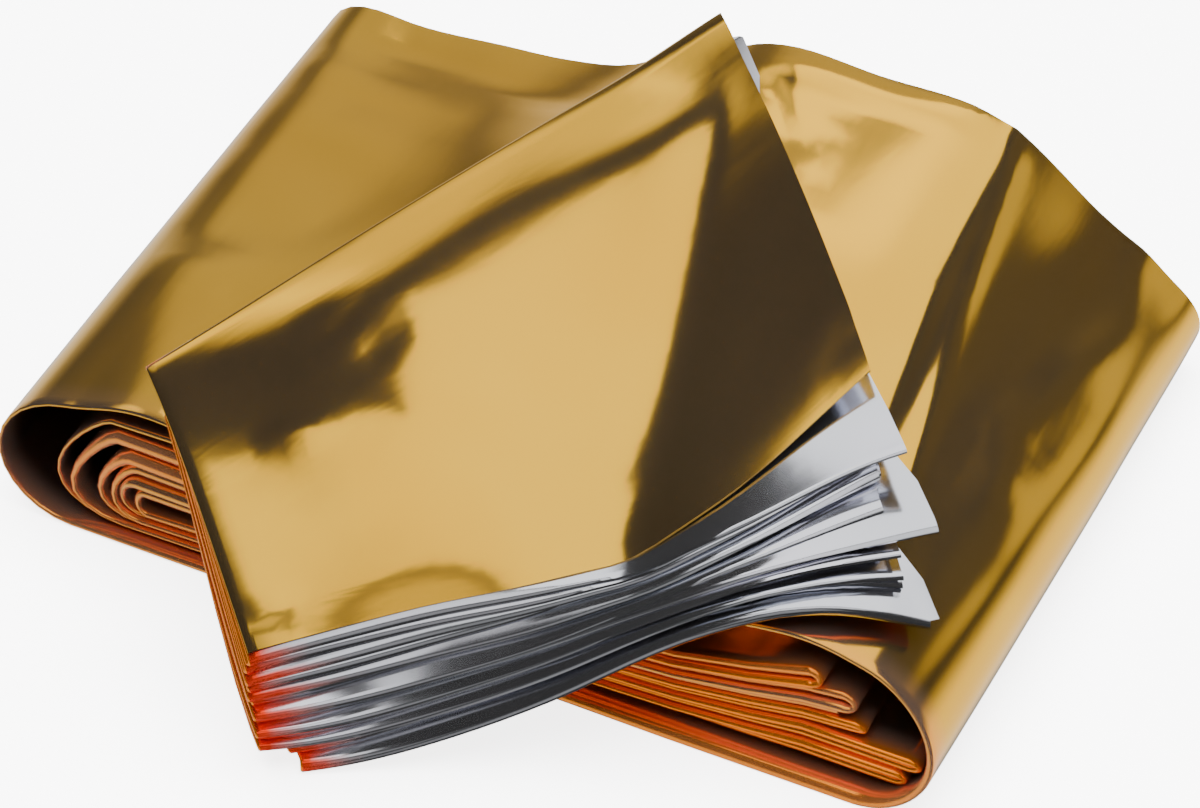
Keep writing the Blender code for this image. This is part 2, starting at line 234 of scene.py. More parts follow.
@dataclass
class RollForm:
    """The wide low roll, measured along it and in from its near edge, in mm."""

    corner: tuple[float, float] = (1.4, 149.5)
    turn_deg: float = -26.0
    length: float = 284.0
    width: float = 196.0
    far_narrowing: float = 4.0
    core_end: float = 256.0
    lowest: float = 1.3
    second_level: float = 10.0 / 11.0
    edge_power: int = 4  # a higher power keeps the folded edges' unevenness nearer to them
    depths: tuple[float, ...] = (0.0, 60.0, 130.0, 196.0)
    heights: tuple[HeightRow, ...] = (
        HeightRow(0.0, 38.0, 38.0, 38.0, 38.0),
        HeightRow(22.0, 40.0, 40.0, 38.0, 33.0),
        HeightRow(60.0, 45.0, 44.0, 40.0, 35.0),
        HeightRow(80.0, 41.0, 46.0, 44.0, 37.0),
        HeightRow(100.0, 39.0, 49.0, 51.0, 42.0),
        HeightRow(120.0, 37.0, 53.0, 60.0, 55.0),
        HeightRow(140.0, 36.0, 56.0, 67.0, 69.0),
        HeightRow(180.0, 38.0, 60.0, 71.0, 71.0),
        HeightRow(222.0, 48.0, 60.0, 66.0, 66.5),
        HeightRow(250.0, 51.0, 52.0, 49.5, 45.0),
        HeightRow(270.0, 46.0, 44.0, 39.0, 32.5),
        HeightRow(284.0, 42.0, 42.0, 38.0, 31.0),
    )
    level_places: tuple[float, ...] = (50.0, 150.0, 216.0, 266.0)
    runs: tuple[Run, ...] = (
        Run(0.00, 0.00, 0.00, 0.00, 3.4, 0.0, 4.6, 0.9),
        Run(0.045, 0.10, 0.115, 0.145, -0.8, 1.0),
        Run(0.075, 0.15, 0.155, 0.23, 0.8, -1.0),
        Run(0.105, 0.20, 0.195, 0.29, -0.6, 0.6),
        Run(0.135, 0.25, 0.24, 0.365, 0.6, -0.5),
        Run(0.165, 0.30, 0.285, 0.42, -0.9, 1.0),
        Run(0.205, 0.35, 0.33, 0.47, 0.3, -0.8),
        Run(0.365, 0.41, 0.375, 0.52, -0.6, 0.5, 3.6, 0.7),
        Run(0.45, 0.47, 0.42, 0.575, 1.0, -0.6, 4.2, 0.6),
        Run(0.54, 0.53, 0.465, 0.645, -0.5, 0.9, 4.8, 0.8),
        Run(0.645, 0.595, 0.51, 0.70, 1.2, -0.4, 5.2, 1.0),
        Run(0.76, 0.67, 0.56, 0.775, -0.4, 0.8, 5.2, 0.9),
        Run(0.885, 10.0 / 11.0, 10.0 / 11.0, 10.0 / 11.0, 0.6, -0.7, 1.6, 0.3),
        Run(1.00, 1.00, 1.00, 1.00, 1.6, 0.0, 1.2, 0.2),
    )
    order: tuple[int, ...] = (7, 6, 5, 8, 9, 4, 3, 10, 11, 2, 1, 12, 0, 13)
    left_loops: tuple[Loop, ...] = (
        Loop(0, 13, 0.0, 22.0, 1.0, 12),
        Loop(1, 12, 16.5, 19.0, 1.25, 11),
        Loop(2, 11, 22.5, 16.0, 1.35),
        Loop(3, 10, 30.0, 12.0, 1.3),
        Loop(4, 9, 34.5, 9.0, 1.2),
        Loop(5, 8, 38.0, 6.0, 1.1),
        Loop(6, 7, 41.5, 3.6, 1.0),
    )
    right_loops: tuple[Loop, ...] = (
        Loop(0, 12, 0.0, 20.5, 1.0, 26),
        Loop(1, 2, 7.5, 2.8),
        Loop(3, 4, 3.5, 2.8),
        Loop(5, 6, 21.0, 2.8),
        Loop(8, 9, 23.5, 3.4),
        Loop(10, 11, 34.0, 3.2),
    )
    creases: tuple[Union[Crease, Ripple], ...] = (
        Crease((221.0, 198.0), (226.0, 138.0), 1.3, 6.0, 1.0),
        Crease((226.0, 138.0), (238.0, 26.0), 1.3, 6.0, 1.0),
        Crease((225.0, 188.0), (236.0, 118.0), 1.4, 2.6, 0.6),
        Crease((236.0, 122.0), (254.0, 24.0), 1.2, 2.8, 0.5),
        Ripple(
            (66.0, 86.0, 101.0, 120.0, 141.0, 166.0, 192.0),
            (261.3, 266.2, 259.5, 264.3, 267.3, 270.0, 263.0),
            1.5,
            6.6,
        ),
        Crease((150.0, 187.0), (214.0, 192.0), 1.7, 4.5, 0.5),
        Crease((152.0, 180.0), (170.0, 150.0), -1.3, 3.4, 0.4),
        Crease((164.0, 172.0), (180.0, 168.0), 0.6, 3.0, 0.6),
        Crease((168.0, 150.0), (182.0, 157.0), 0.6, 2.8, 0.6),
        Crease((204.0, 184.0), (214.0, 96.0), 0.35, 4.0, 0.4),
        Crease((6.0, 166.0), (66.0, 158.0), 0.8, 4.5, 0.5),
        Crease((22.0, 184.0), (96.0, 174.0), -0.9, 5.5, 0.3),
        Crease((26.0, 72.0), (42.0, -14.0), 2.6, 15.0, 0.0),
        Crease((30.0, 140.0), (84.0, 110.0), 0.6, 10.0, 0.1),
        Crease((10.0, 116.0), (48.0, 100.0), 0.5, 8.0, 0.1),
    )
    axis: Array = field(init=False)
    inward: Array = field(init=False)

    def __post_init__(self) -> None:
        """Work out the roll's two plan directions."""
        turn = math.radians(self.turn_deg)
        self.axis = np.array([math.cos(turn), math.sin(turn)])
        self.inward = np.array([-self.axis[1], self.axis[0]])

    def to_plan(self, along: Array, depth: Array) -> Array:
        """Return plan places of places that are measured on the roll."""
        places = np.stack(np.broadcast_arrays(along, depth), -1)
        return np.array(self.corner) + places @ np.stack([self.axis, self.inward])

    def from_plan(self, plan: Array) -> tuple[Array, Array]:
        """Return along and depth of plan places, the reverse of to_plan."""
        offset = np.asarray(plan, float) - np.array(self.corner)
        return offset @ self.axis, offset @ self.inward

    def height(self, along: Array, depth: Array, creased: bool = True) -> Array:
        """Return the height of the top of the roll.

        Args:
            along: Places along the roll.
            depth: Places in from its near edge.
            creased: Whether the creases of the visible layers count.

        Returns:
            Heights in mm.
        """
        along, depth = np.broadcast_arrays(np.asarray(along, float), np.asarray(depth, float))
        rows = np.array([(r.along, *r.across()) for r in self.heights])
        columns = np.stack([spline(rows[:, 0], values, along) for values in rows[:, 1:].T], -1)
        depths = np.asarray(self.depths)
        inside = np.clip(depth, depths[0], depths[-1])
        cell = np.clip(np.searchsorted(depths, inside, side="right") - 1, 0, len(depths) - 2)
        t = smooth((inside - depths[cell]) / (depths[cell + 1] - depths[cell]))
        low = np.take_along_axis(columns, cell[..., None], -1)[..., 0]
        high = np.take_along_axis(columns, cell[..., None] + 1, -1)[..., 0]
        total = (low + (high - low) * t) / self.second_level
        if creased:
            total = total + sum(crease.lift(along, depth) for crease in self.creases)
        return total

    def level(self, run: Run, along: Array) -> Array:
        """Return how high a run lies, as a share of the roll's height."""
        return spline(self.level_places, (run.left, run.early, run.waist, run.right), along)

    def row(
        self, along: Array, level: Array, near_out: float, far_out: float, across: Array
    ) -> Array:
        """Place one row of the strip inside the roll.

        Args:
            along: How far along the roll each place lies, from near to far.
            level: How high each lies, as a share of the roll's height.
            near_out: How far the near folded edge stands proud.
            far_out: How far the far edge does.
            across: The places' shares of the strip's width.

        Returns:
            The places, in mm.
        """
        power = self.edge_power
        depth = across * self.width - near_out * (1 - across) ** power + far_out * across**power
        height = self.lowest + (self.height(along, depth) - self.lowest) * level
        return np.column_stack([self.to_plan(along, depth), height])


@dataclass
class Strip:
    """Rows of places across the strip, with what each row needs to be given its two plies."""

    across: Array
    rows: list[Array] = field(default_factory=list)
    bundles: list[Array] = field(default_factory=list)
    # how strongly the orange reflection of gold in gold is painted, row by row
    painted_reflections: list[Array] = field(default_factory=list)
    zones: list[Zone] = field(default_factory=list)
    run_outs: list[float] = field(default_factory=list)

    def add(
        self,
        row: Array,
        bundle: Union[float, Array],
        painted_reflection: Union[float, Array],
        zone: Zone,
        run_out: float = 0.0,
    ) -> None:
        """Add a row.

        Args:
            row: Its places, from the near to the far edge, in mm.
            bundle: The distance between its two plies, in mm.
            painted_reflection: How strongly the orange reflection of gold in gold is painted there,
                from 0 to 1.
            zone: The stretch of the strip that it belongs to.
            run_out: How far its lower ply shows past the upper one at the far end, in mm.
        """
        self.rows.append(row)
        self.bundles.append(np.broadcast_to(bundle, self.across.shape).astype(float))
        self.painted_reflections.append(np.broadcast_to(painted_reflection, self.across.shape).astype(float))
        self.zones.append(zone)
        self.run_outs.append(run_out)


@dataclass
class Winder:
    """Folds the strip into the roll, from the inner end out."""

    roll: RollForm
    strip: Strip
    stations: tuple[float, ...] = (62.0, 84.0, 106.0, 130.0, 156.0, 184.0, 208.0, 230.0, 246.0)
    margin: float = 4.0  # how near the rows come to a run's ends
    fine_margin: float = 1.0  # how near they come on the run that shows on top
    fine_step: float = 4.2
    fine_from: float = 120.0
    finest_step: float = 1.7
    finest_from: float = 218.0
    fill: float = 0.95  # share of the room between layers that a bundle takes
    spare: float = 0.25
    thinnest: float = 0.7
    pinch: float = 0.35  # how much thinner a bundle is at a loop's tip
    edge_reach: float = 0.045  # how far in from the folded edge the orange reflection is painted
    left_painted_reflection: float = 0.75  # how strong the painted reflection is at the left, as a share of the right
    painted_reflection_from: float = 60.0  # where along the roll the painted reflection starts to strengthen
    painted_reflection_over: float = 120.0
    tip_waver: Wave = Wave(1.4, 2.4, 1.7)
    tip_ripple: Wave = Wave(0.7, 7.0, 2.3)
    right_turn: float = 2.9  # how far the tips' waver is turned on at the right end, in radians
    run_waver: Wave = Wave(0.25, 9.0, 2.1)
    run_turn: float = 3.0  # how far the runs' waver turns across the strip, in radians

    def tip(self, loop: Loop, right: bool) -> Array:
        """Place a loop's tip.

        Args:
            loop: The loop.
            right: Whether it is at the roll's right end.

        Returns:
            How far along the roll the tip reaches, from the near to the far edge.
        """
        across, roll = self.strip.across, self.roll
        start = self.right_turn * right
        wave = self.tip_waver.at(across, loop.low, start) - self.tip_waver.at(0.0, loop.low, start)
        wave += self.tip_ripple.at(across, loop.low)
        inward = loop.tip_in + wave * (loop.low > 0)
        if right:
            return roll.length - inward - roll.far_narrowing * across**2
        return inward

    def bundle(self, run: int, along: Array) -> Array:
        """Open a run's bundle into the room between its neighbours.

        Args:
            run: The run, counted from the floor up.
            along: Places along the roll, from near to far.

        Returns:
            The distance between the run's two plies, in mm.
        """
        roll = self.roll
        here = roll.level(roll.runs[run], along)
        gaps = [
            np.abs(roll.level(roll.runs[other], along) - here)
            for other in (run - 1, run + 1)
            if 0 <= other < len(roll.runs)
        ]
        height = roll.height(along, self.strip.across * roll.width, creased=False)
        room = np.minimum.reduce(gaps) * height
        return np.clip(self.fill * room - self.spare, self.thinnest, roll.runs[run].thickest)

    def painted_reflection(self, run: Run, along: Array) -> Array:
        """Paint the orange reflection of gold in gold along a run's folded near edge, most at the
        right.

        Args:
            run: The run.
            along: Places along the roll, from near to far.

        Returns:
            How strongly the reflection is painted, from 0 to 1.
        """
        near = smooth(1.0 - self.strip.across / self.edge_reach) * run.painted_reflection
        to_right = smooth((np.asarray(along) - self.painted_reflection_from) / self.painted_reflection_over)
        return near * blend(self.left_painted_reflection, 1.0, to_right)

    def lay_run(
        self, run: int, start: Array, end: Array, stations: Sequence[float], margin: float
    ) -> None:
        """Add the rows of one straight run.

        Args:
            run: The run, counted from the floor up.
            start: Where it starts, from near to far.
            end: Where it ends.
            stations: Places along the roll that may get a row.
            margin: How near to the run's ends they may.
        """
        roll, across, shape = self.roll, self.strip.across, self.roll.runs[run]
        low, high = np.minimum(start, end), np.maximum(start, end)
        first, last = low.max() + margin, high.min() - margin
        places = [low, *(np.full_like(across, x) for x in stations if first < x < last), high]
        for along in places if start[0] < end[0] else reversed(places):
            part = (along - low) / (high - low)
            waver = self.run_waver.at(part, run, self.run_turn * across) * 4.0 * part * (1 - part)
            level = roll.level(shape, along)
            if 0 < run < len(roll.runs) - 2:
                level = level + waver / roll.height(along, across * roll.width, creased=False)
            row = roll.row(along, level, shape.near_out, shape.far_out, across)
            self.strip.add(row, self.bundle(run, along), self.painted_reflection(shape, along), Zone.ROLL)

    def bend_round(self, loop: Loop, right: bool, upwards: bool) -> None:
        """Add the rows of one end loop, in the direction in which the strip is folded.

        Args:
            loop: The loop.
            right: Whether it is at the roll's right end.
            upwards: Whether the strip goes up round it.
        """
        roll, across = self.roll, self.strip.across
        low, high = roll.runs[loop.low], roll.runs[loop.high]
        tip = self.tip(loop, right)
        reach = -loop.reach if right else loop.reach
        base = tip + reach
        low_level, high_level = roll.level(low, base), roll.level(high, base)
        low_bundle, high_bundle = self.bundle(loop.low, base), self.bundle(loop.high, base)
        # the orange reflection painted on both runs, blended round the loop
        low_painted_reflection, high_painted_reflection = self.painted_reflection(low, base), self.painted_reflection(high, base)
        for part in np.linspace(0.0, 1.0, loop.steps + 2)[1:-1]:
            down = 1.0 - part if upwards else part
            mix = 0.5 - 0.5 * math.cos(math.pi * down)
            along = tip + reach * (1 - math.sin(math.pi * down**loop.droop))
            near_out = blend(high.near_out, low.near_out, mix)
            far_out = blend(high.far_out, low.far_out, mix)
            row = roll.row(along, blend(high_level, low_level, mix), near_out, far_out, across)
            pinched = 1 - self.pinch * math.sin(math.pi * down)
            bundle = blend(high_bundle, low_bundle, mix) * pinched
            self.strip.add(row, bundle, blend(high_painted_reflection, low_painted_reflection, mix), Zone.ROLL)

    def wind(self, leaving: Array, leaving_rows: int) -> None:
        """Fold the whole roll.

        Args:
            leaving: Where the outermost run leaves the roll, along it, from near to far.
            leaving_rows: Rows on the outermost run's stretch on the roll.
        """
        roll, order = self.roll, self.roll.order
        ends = {True: {}, False: {}}
        for right, loops in ((True, roll.right_loops), (False, roll.left_loops)):
            for loop in loops:
                base = self.tip(loop, right) + (-loop.reach if right else loop.reach)
                ends[right][loop.low] = ends[right][loop.high] = (loop, base)
        top_stations = (
            *(x for x in self.stations if x < self.fine_from),
            *np.arange(self.fine_from, self.finest_from, self.fine_step),
            *np.arange(self.finest_from, roll.length, self.finest_step),
        )
        top_run = order[-3]
        start = np.full_like(self.strip.across, roll.core_end)
        for place, run in enumerate(order[:-1]):
            to_right = place % 2 == 1
            loop, end = ends[to_right][run]
            if run == top_run:
                self.lay_run(run, start, end, top_stations, self.fine_margin)
            else:
                self.lay_run(run, start, end, self.stations, self.margin)
            self.bend_round(loop, to_right, order[place + 1] > run)
            start = end
        outermost, last = order[-1], roll.runs[order[-1]]
        for part in np.linspace(0.0, 1.0, leaving_rows + 1)[:-1]:
            along = blend(start, leaving, part)
            level = roll.level(last, along)
            row = roll.row(along, level, last.near_out, last.far_out, self.strip.across)
            bundle = self.bundle(outermost, along)
            self.strip.add(row, bundle, self.painted_reflection(last, along), Zone.ROLL)


# ---------------------------------------------------------------- the pack


@dataclass(frozen=True)
class FoldRow:
    """Unevenness of one near fold and the far fold after it, in mm."""

    near_out: float
    far_out: float
    right_out: float  # how far the layers run out at the near right corner
    near_right_out: float  # the near fold's extra reach at its right end
    near_rise: float = 0.0  # the near fold's rise at its right end, in layers
    left_in: float = 0.0  # how far the layers stand in at the left end
    tab_out: float = 0.0  # how far the layers run out at the far right corner


@dataclass
class PackForm:
    """The pack: a from left to right, b from near to far and h from its lowest to its top layer."""

    roll: RollForm
    width: float = 180.0
    depth: float = 105.0
    layers: int = 26
    layer_lift: float = 3.4
    fold_reach: float = 1.4
    bundle: float = 0.55
    end_bundle: float = 0.6  # how much more its plies open along the folded left end
    end_power: int = 14  # a higher power keeps that opening nearer the end
    on_floor: float = 0.6  # height of a layer that lies on the surface
    over_roll: float = 0.8  # gap between the roll's top and a layer that lies on it
    crown: float = 2.5
    top_clear: float = 1.2
    drop_reach: float = 62.0
    bevel_slope: float = 0.25  # of the top layers' far edge, which falls away to the far fold
    bevel_width: tuple[float, float] = (13.0, 21.0)  # at the left and at the right end
    bevel_softness: tuple[float, float] = (14.0, 2.0)
    follow: float = 1.5  # a higher power keeps the creases nearer to the top layer
    tuck: float = 3.0  # how far the layers under the top one stand in at the right
    tuck_from: float = 0.06  # where they start to, as a share of the depth
    tuck_over: float = 0.3
    tuck_below_top: float = 25.0  # a higher number lets layers nearer the top one stand in fully
    tab_from: float = 0.8  # where the far right corners start to run out
    tab_over: float = 0.1
    left_flare: float = 2.6  # how far the inner layers run out at the near left corner
    flare_turn: float = 1.9  # above 1 they stand in at the far left corner
    flare_fade: float = 6.0  # a higher number keeps it fuller towards the top and bottom layers
    flare_start: float = 0.3
    left_power: int = 6  # a higher power keeps the left ends' unevenness nearer to them
    right_power: int = 5
    near_waver: Wave = Wave(0.5, 5.0, 2.2)
    far_waver: Wave = Wave(0.4, 4.0, 1.4)
    loose_waver: Wave = Wave(0.35, 2.0, 1.9)  # height in layers
    near_low: tuple[tuple[float, ...], ...] = (
        (80.0, 42.4), (124.0, 45.0), (168.0, 46.0), (213.0, 46.5), (256.0, 51.0),
    )
    far_low: tuple[tuple[float, ...], ...] = (
        (50.0, 116.0), (89.0, 138.0), (129.0, 161.0), (169.0, 184.0), (208.0, 206.0),
    )
    near_top: tuple[tuple[float, ...], ...] = (
        (75.2, 42.0, 44.0), (117.0, 48.0, 55.5), (158.0, 51.5, 67.0), (197.6, 61.0, 82.5),
        (241.0, 90.0, 105.0),
    )
    far_top: tuple[tuple[float, ...], ...] = (
        (46.1, 115.5, 82.0), (84.3, 138.5, 93.5), (123.0, 162.5, 105.5), (162.0, 187.5, 116.0),
        (201.6, 209.2, 130.0),
    )
    folds: tuple[FoldRow, ...] = (
        FoldRow(1.4, -1.0, -2.0, 2.0, 0.0, 8.0),
        FoldRow(-1.8, 0.6, -9.5, -1.0, 0.0, 7.0),
        FoldRow(0.9, -0.6, -9.0, -0.5, 0.0, -0.6),
        FoldRow(-1.6, 0.9, -11.0, -1.5, 0.0, 0.3),
        FoldRow(1.8, -0.8, -8.5, 0.5, 0.0, -0.7),
        FoldRow(-1.0, 0.4, 2.5, 6.0, 0.4, 0.6),
        FoldRow(1.2, -1.0, -9.5, -1.0, 0.1, -0.2),
        FoldRow(-1.9, 0.5, -7.5, -2.5, -0.5, 0.5),
        FoldRow(0.5, -0.4, -8.0, -1.5, -1.1, -0.4),
        FoldRow(-0.9, 0.8, -5.5, -3.0, -1.8, 0.2),
        FoldRow(0.4, -0.9, -7.0, -1.0, -2.5, 0.0),
        FoldRow(-0.8, 0.2, -2.5, 3.0, -3.2, 0.4, 9.0),
        FoldRow(-0.9, 0.0, -1.5, 9.5, -3.8, 0.0, 0.0),
    )
    creases: tuple[Crease, ...] = (
        Crease((182.0, 94.0), (103.0, -8.0), -4.0, 52.0, 0.5),
        Crease((182.0, 94.0), (103.0, -8.0), -0.8, 9.0, 0.0),
        Crease((196.0, 80.0), (190.0, 10.0), 1.4, 18.0),
        Crease((88.0, -16.0), (98.0, 44.0), -2.4, 34.0, 0.0, 0.2, 0.9),
        Crease((84.0, 106.0), (36.0, 6.0), 6.6, 42.0, 0.0, 0.7, 0.8),
        Crease((55.0, 64.0), (66.0, 71.0), -0.8, 3.6, 0.2),
        Crease((56.0, 37.0), (65.0, 48.0), 0.6, 3.8, 0.2),
        Crease((44.0, 80.0), (54.0, 88.0), -0.6, 3.8, 0.2),
        Crease((24.0, 60.0), (38.0, 52.0), 0.7, 4.0, 0.2),
        Crease((3.0, 11.0), (14.0, 9.0), 0.55, 2.8, 0.5),
        Crease((3.0, 2.5), (11.0, 5.5), -0.6, 2.6, 0.5),
        Crease((2.0, -4.0), (128.0, -4.0), -2.0, 9.5, 0.0, 0.5, 0.3),
        Crease((-4.0, -6.0), (-4.0, 104.0), -0.9, 4.0, 0.0, 0.05, 0.3),
        Crease((128.0, -3.0), (198.0, -3.0), -1.5, 6.2, 0.0, 0.5, 0.1),
        Crease((168.0, 8.0), (186.0, 14.0), -0.45, 3.4, 0.3),
        Crease((170.0, 17.0), (188.0, 11.0), 0.45, 3.4, 0.3),
    )

    def edge(self, table: Sequence[Sequence[float]], a: Array) -> Array:
        """Read one of the pack's long edges, run on straight past its ends.

        Args:
            table: Places on the edge, at even steps from left to right.
            a: Shares of the pack's width.

        Returns:
            The places there.
        """
        columns = np.asarray(table, float)
        steps = np.linspace(0.0, 1.0, len(columns))
        inside = np.clip(a, 0.0, 1.0)
        points = np.stack([spline(steps, column, inside) for column in columns.T], -1)
        first = (columns[1] - columns[0]) / steps[1]
        last = (columns[-1] - columns[-2]) / steps[1]
        slope = np.where(np.asarray(a)[..., None] < 0.5, first, last)
        return points + slope * (np.asarray(a) - inside)[..., None]

    def draped(self, along: Array, depth: Array) -> Array:
        """Lay a layer on the roll and let it fall over the roll's near edge.

        Args:
            along: Places along the roll.
            depth: How far in from the roll's near edge they lie, below 0 in front of it.

        Returns:
            The layer's heights there, in mm.
        """
        out = np.clip(-np.asarray(depth, float) / self.drop_reach, 0.0, 1.0)
        fall = 0.5 * (1 + np.cos(math.pi * out))
        on_roll = self.roll.height(along, depth, creased=False) + self.over_roll
        return blend(self.on_floor, on_roll, fall)

    def bevel(self, a: Array, b: Array) -> Array:
        """Let the top layer fall away towards its far edge.

        Args:
            a: Shares of the pack's width.
            b: Shares of its depth.

        Returns:
            How far it has fallen there, in mm.
        """
        end = np.clip(a, 0.0, 1.0)
        past = blend(*self.bevel_width, end) - (1 - b) * self.depth
        soft = blend(*self.bevel_softness, end)
        return self.bevel_slope * 0.5 * (past + np.sqrt(past**2 + soft**2))

    def place(self, a: Array, b: Array, h: Array) -> Array:
        """Place points in the pack.

        Args:
            a: Shares of the pack's width, from left to right.
            b: Shares of its depth, from near to far.
            h: Shares of its height, from the lowest to the top layer.

        Returns:
            The places, in mm.
        """
        a, b, h = np.broadcast_arrays(*(np.asarray(v, float) for v in (a, b, h)))
        share = b[..., None]
        low = self.edge(self.near_low, a) * (1 - share) + self.edge(self.far_low, a) * share
        lift = self.draped(*self.roll.from_plan(low)) + self.layer_lift
        low = np.concatenate([low, lift[..., None]], -1)
        top = self.edge(self.near_top, a) * (1 - share) + self.edge(self.far_top, a) * share
        crown = self.crown * np.sin(math.pi * np.clip(b, 0.0, 1.0)) + self.top_clear
        creases = sum(crease.lift(a * self.width, b * self.depth) for crease in self.creases)
        points = low + (top - low) * h[..., None]
        points[..., 2] += (crown - self.bevel(a, b)) * h + creases * h**self.follow
        return points

    def height_of(self, layer: float, a: Array, rise: float) -> Array:
        """Work out how high a layer lies across the strip.

        Args:
            layer: The layer's number.
            a: Shares of the pack's width.
            rise: Its rise at the right end, in layers.

        Returns:
            Its shares of the pack's height.
        """
        loose = self.loose_waver.at(a, layer) * smooth(a)
        free = (0.0 < layer) * (layer < self.layers - 1)
        return (layer + (loose + rise * np.asarray(a) ** 3) * free) / (self.layers - 1)

    def opening(self, across: Array) -> Array:
        """Return the distance between the strip's two plies, in mm."""
        return self.bundle + self.end_bundle * (1 - across) ** self.end_power

    def near_depth(self, fold: int, a: Array) -> Array:
        """Place a near fold.

        Args:
            fold: The fold's number.
            a: Shares of the pack's width.

        Returns:
            Where it stands, as a share of the pack's depth.
        """
        row = self.folds[fold]
        out = row.near_out + row.near_right_out * np.asarray(a) ** 3
        return -(out + self.near_waver.at(a, fold)) / self.depth

    def far_depth(self, fold: int, a: Array) -> Array:
        """Return where a far fold stands, as a share of the pack's depth."""
        return 1.0 + (self.folds[fold].far_out + self.far_waver.at(a, fold)) / self.depth

    def spread(self, fold: float, across: Array, b: Array, layer: float) -> Array:
        """Return a across the strip, with the layer's own ends at the left and the right.

        Args:
            fold: The fold's number; a number between two folds blends them.
            across: Shares of the strip's width.
            b: How far from the near edge the row lies, as a share of the depth.
            layer: The layer's number.

        Returns:
            Shares of the pack's width, a little under 0 or over 1 at some ends.
        """
        first = self.folds[int(math.floor(fold))]
        second = self.folds[min(int(math.ceil(fold)), len(self.folds) - 1)]
        mix, h = fold - math.floor(fold), layer / (self.layers - 1)
        inside = np.clip(b, 0.0, 1.0)
        overhang = (self.near_low[-1][0] - self.near_top[-1][0]) * (1 - inside)
        overhang += (self.far_low[-1][0] - self.far_top[-1][0]) * inside
        tucked = self.tuck + overhang * (1 - h)
        tucked = tucked * smooth((inside - self.tuck_from) / self.tuck_over)
        tucked = tucked * smooth((1 - h) * self.tuck_below_top)
        tab = blend(first.tab_out, second.tab_out, mix)
        tab = tab * smooth((inside - self.tab_from) / self.tab_over)
        right = blend(first.right_out, second.right_out, mix) * (1 - inside) ** 2 - tucked + tab
        flare = self.left_flare * smooth(self.flare_fade * (1 - h))
        flare *= smooth(self.flare_fade * h + self.flare_start)
        left = blend(first.left_in, second.left_in, mix) - flare * (1 - self.flare_turn * inside)
        ends = left * (1 - across) ** self.left_power + right * across**self.right_power
        return across + ends / self.width


